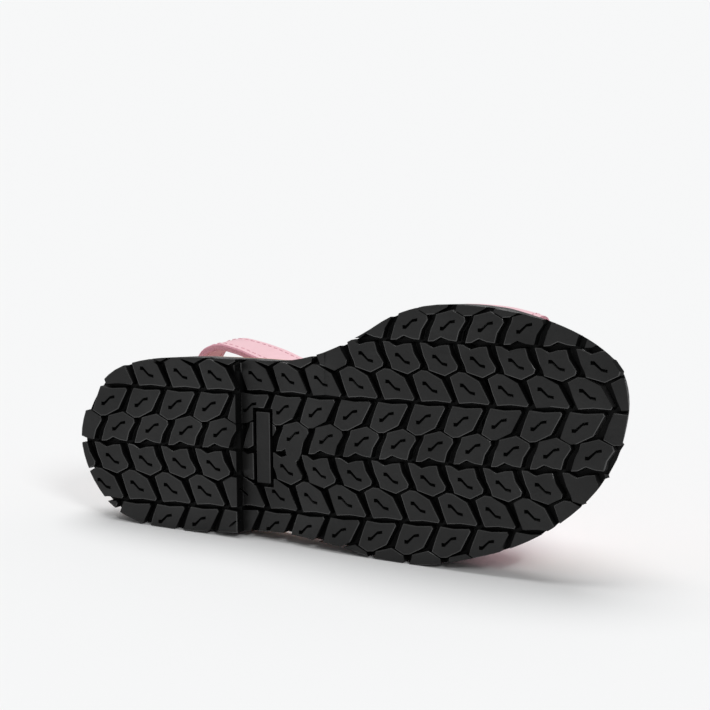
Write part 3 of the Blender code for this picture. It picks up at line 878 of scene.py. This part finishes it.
@dataclass
class Vamp:
    """Arch of leather over the forefoot, with a sewn row along the throat and the toe edge."""

    row_inset: float = 0.0026
    rim_lean: float = 0.75
    foot_lean: float = 0.9
    foot_height: float = 0.016
    row_lean: float = 0.6
    middle_share: float = 0.3
    turn_drop: float = 0.02
    shade_angle: float = 35.0
    leather: PinkLeather = field(default_factory=PinkLeather)
    thread: Thread = field(default_factory=Thread)
    reach: tuple[Vector, Vector] = field(init=False)

    def is_rim(self, face: bpy.types.MeshPolygon) -> bool:
        """True for the cut edges at the throat, the toe and the foot."""
        local = STANDING.to_3x3() @ face.normal
        low = (STANDING @ face.center).z < self.foot_height
        return abs(local.x) > self.rim_lean or local.z < -self.foot_lean and low

    def side(self, face: bpy.types.MeshPolygon) -> Side:
        """Which way a face looks."""
        if self.is_rim(face):
            return Side.EDGE
        center = STANDING @ face.center
        local = STANDING.to_3x3() @ face.normal
        away = Vector((0.0, center.y - self.middle.y, center.z - self.middle.z))
        return Side.OUTER if local.dot(away) > 0 else Side.INNER

    @property
    def middle(self) -> Vector:
        """A point inside the arch, in the standing shoe."""
        low, high = self.reach
        return (low + high) / 2 - Vector((0.0, 0.0, (high.z - low.z) * self.middle_share))

    def build(self) -> bpy.types.Object:
        """Dresses the vamp and sews its rows."""
        piece = copy_node("vamp", "vamp_leather")
        make_quads(piece)
        corners = [STANDING @ vert.co for vert in piece.data.vertices]
        self.reach = (Vector([min(point[axis] for point in corners) for axis in range(3)]),
                      Vector([max(point[axis] for point in corners) for axis in range(3)]))
        self.leather.dress(piece, self.side)
        rows = [row for row in (self.rim_row(piece, -1.0), self.rim_row(piece, 1.0)) if len(row) > 2]
        smooth(piece, self.shade_angle)
        sewn = self.thread.sew(rows, "vamp_stitches", self.leather.thread)
        LOG.info("vamp: rows of %s points", [len(row) for row in rows])
        return piece

    def rim_row(self, piece: bpy.types.Object, way: float) -> list[tuple[Vector, Vector]]:
        """Line a little way in from the throat's or the toe's edge.

        Args:
            piece: The vamp.
            way: 1 for the toe edge and -1 for the throat.

        Returns:
            Points on the outer face and the direction away from it.
        """
        mesh = piece.data
        links = face_links(mesh)
        turn = STANDING.to_3x3()
        inward: dict[int, tuple[Vector, Vector]] = {}
        for key, faces in links.items():
            sides = {mesh.polygons[index].material_index for index in faces}
            if sides != {Side.OUTER.value, Side.EDGE.value}:
                continue
            outer, rim = sorted((mesh.polygons[index] for index in faces),
                                key=lambda face: face.material_index)
            if (turn @ rim.normal).x * way < self.row_lean:
                continue
            for index in key:
                for first, second in outer.edge_keys:
                    if (first, second) != key and index in (first, second):
                        ahead = second if index == first else first
                        line = (mesh.vertices[ahead].co - mesh.vertices[index].co).normalized()
                        spot = mesh.vertices[index].co + line * self.row_inset
                        inward[index] = (spot, outer.normal.copy())
        return sorted(inward.values(), key=lambda item: self.turn_of(item[0]))

    def turn_of(self, spot: Vector) -> float:
        """Angle of a point round the arch, from the inner side over the crest."""
        local = STANDING @ spot - self.middle
        return math.atan2(local.z + self.turn_drop, local.y)


# Stage


@dataclass(frozen=True)
class Sun:
    """Soft light that falls evenly on the whole floor."""

    name: str
    source: Place
    spread: float
    strength: float

    def build(self) -> None:
        """Makes the light and turns it to its source."""
        light = bpy.data.lights.new(self.name, "SUN")
        light.angle = math.radians(self.spread)
        light.energy = self.strength
        lamp = bpy.data.objects.new(self.name, light)
        lamp.rotation_euler = Vector(self.source).to_track_quat("Z", "Y").to_euler()
        bpy.context.scene.collection.objects.link(lamp)


@dataclass
class Studio:
    """Pale floor, soft lights and the camera."""

    yaw: float = math.radians(31.0)
    elevation: float = math.radians(10.8)
    focal_pixels: float = 3200.0
    image_pixels: float = 710.0
    sensor_mm: float = 36.0
    camera_place: Place = (0.48258, -0.82342, 0.23674)
    floor_size: float = 12.0
    floor_color: Color = (0.86, 0.865, 0.868)
    floor_roughness: float = 0.9
    world_color: Color = (1.0, 1.0, 1.0)
    world_strength: float = 0.30
    suns: tuple[Sun, ...] = (
        Sun("overhead_light", source=(-0.20, 0.18, 1.0), spread=50.0, strength=2.05),
        Sun("right_light", source=(0.65, -0.50, 0.55), spread=16.0, strength=0.85),
    )

    def floor(self) -> bpy.types.Object:
        """Plain pale floor."""
        bpy.ops.mesh.primitive_plane_add(size=self.floor_size)
        piece = bpy.context.view_layer.objects.active
        piece.name = "studio_floor"
        with editing(piece):
            bpy.ops.mesh.select_all(action="SELECT")
            bpy.ops.mesh.subdivide(number_cuts=3)
        nodes = Nodes("pale_floor")
        nodes.shader.inputs["Base Color"].default_value = (*self.floor_color, 1.0)
        nodes.shader.inputs["Roughness"].default_value = self.floor_roughness
        nodes.shader.inputs["Specular IOR Level"].default_value = 0.0
        piece.data.materials.append(nodes.material)
        return piece

    def world(self) -> None:
        """Even light from all round."""
        world = bpy.data.worlds.new("studio_world")
        world.use_nodes = True
        background = world.node_tree.nodes["Background"]
        background.inputs["Color"].default_value = (*self.world_color, 1.0)
        background.inputs["Strength"].default_value = self.world_strength
        bpy.context.scene.world = world

    def camera(self) -> None:
        """Camera at the photograph's angle to the shoe."""
        data = bpy.data.cameras.new("camera")
        data.sensor_width = self.sensor_mm
        data.lens = self.focal_pixels / self.image_pixels * self.sensor_mm
        data.clip_start = 0.01
        data.clip_end = 50.0
        camera = bpy.data.objects.new("camera", data)
        back = Vector((math.sin(self.yaw) * math.cos(self.elevation),
                       -math.cos(self.yaw) * math.cos(self.elevation),
                       math.sin(self.elevation)))
        camera.location = self.camera_place
        camera.rotation_euler = (-back).to_track_quat("-Z", "Y").to_euler()
        bpy.context.scene.collection.objects.link(camera)
        bpy.context.scene.camera = camera

    def build(self) -> None:
        """Sets up the stage."""
        self.floor()
        self.world()
        for sun in self.suns:
            sun.build()
        self.camera()
        bpy.context.scene.view_settings.view_transform = "Standard"


def main() -> None:
    """Builds every piece in order."""
    logging.basicConfig(level=logging.INFO, format="%(name)s %(message)s")
    Tread().build()
    Footbed().build()
    Vamp().build()
    HeelStrap().build()
    Studio().build()


if __name__ == "__main__":
    main()
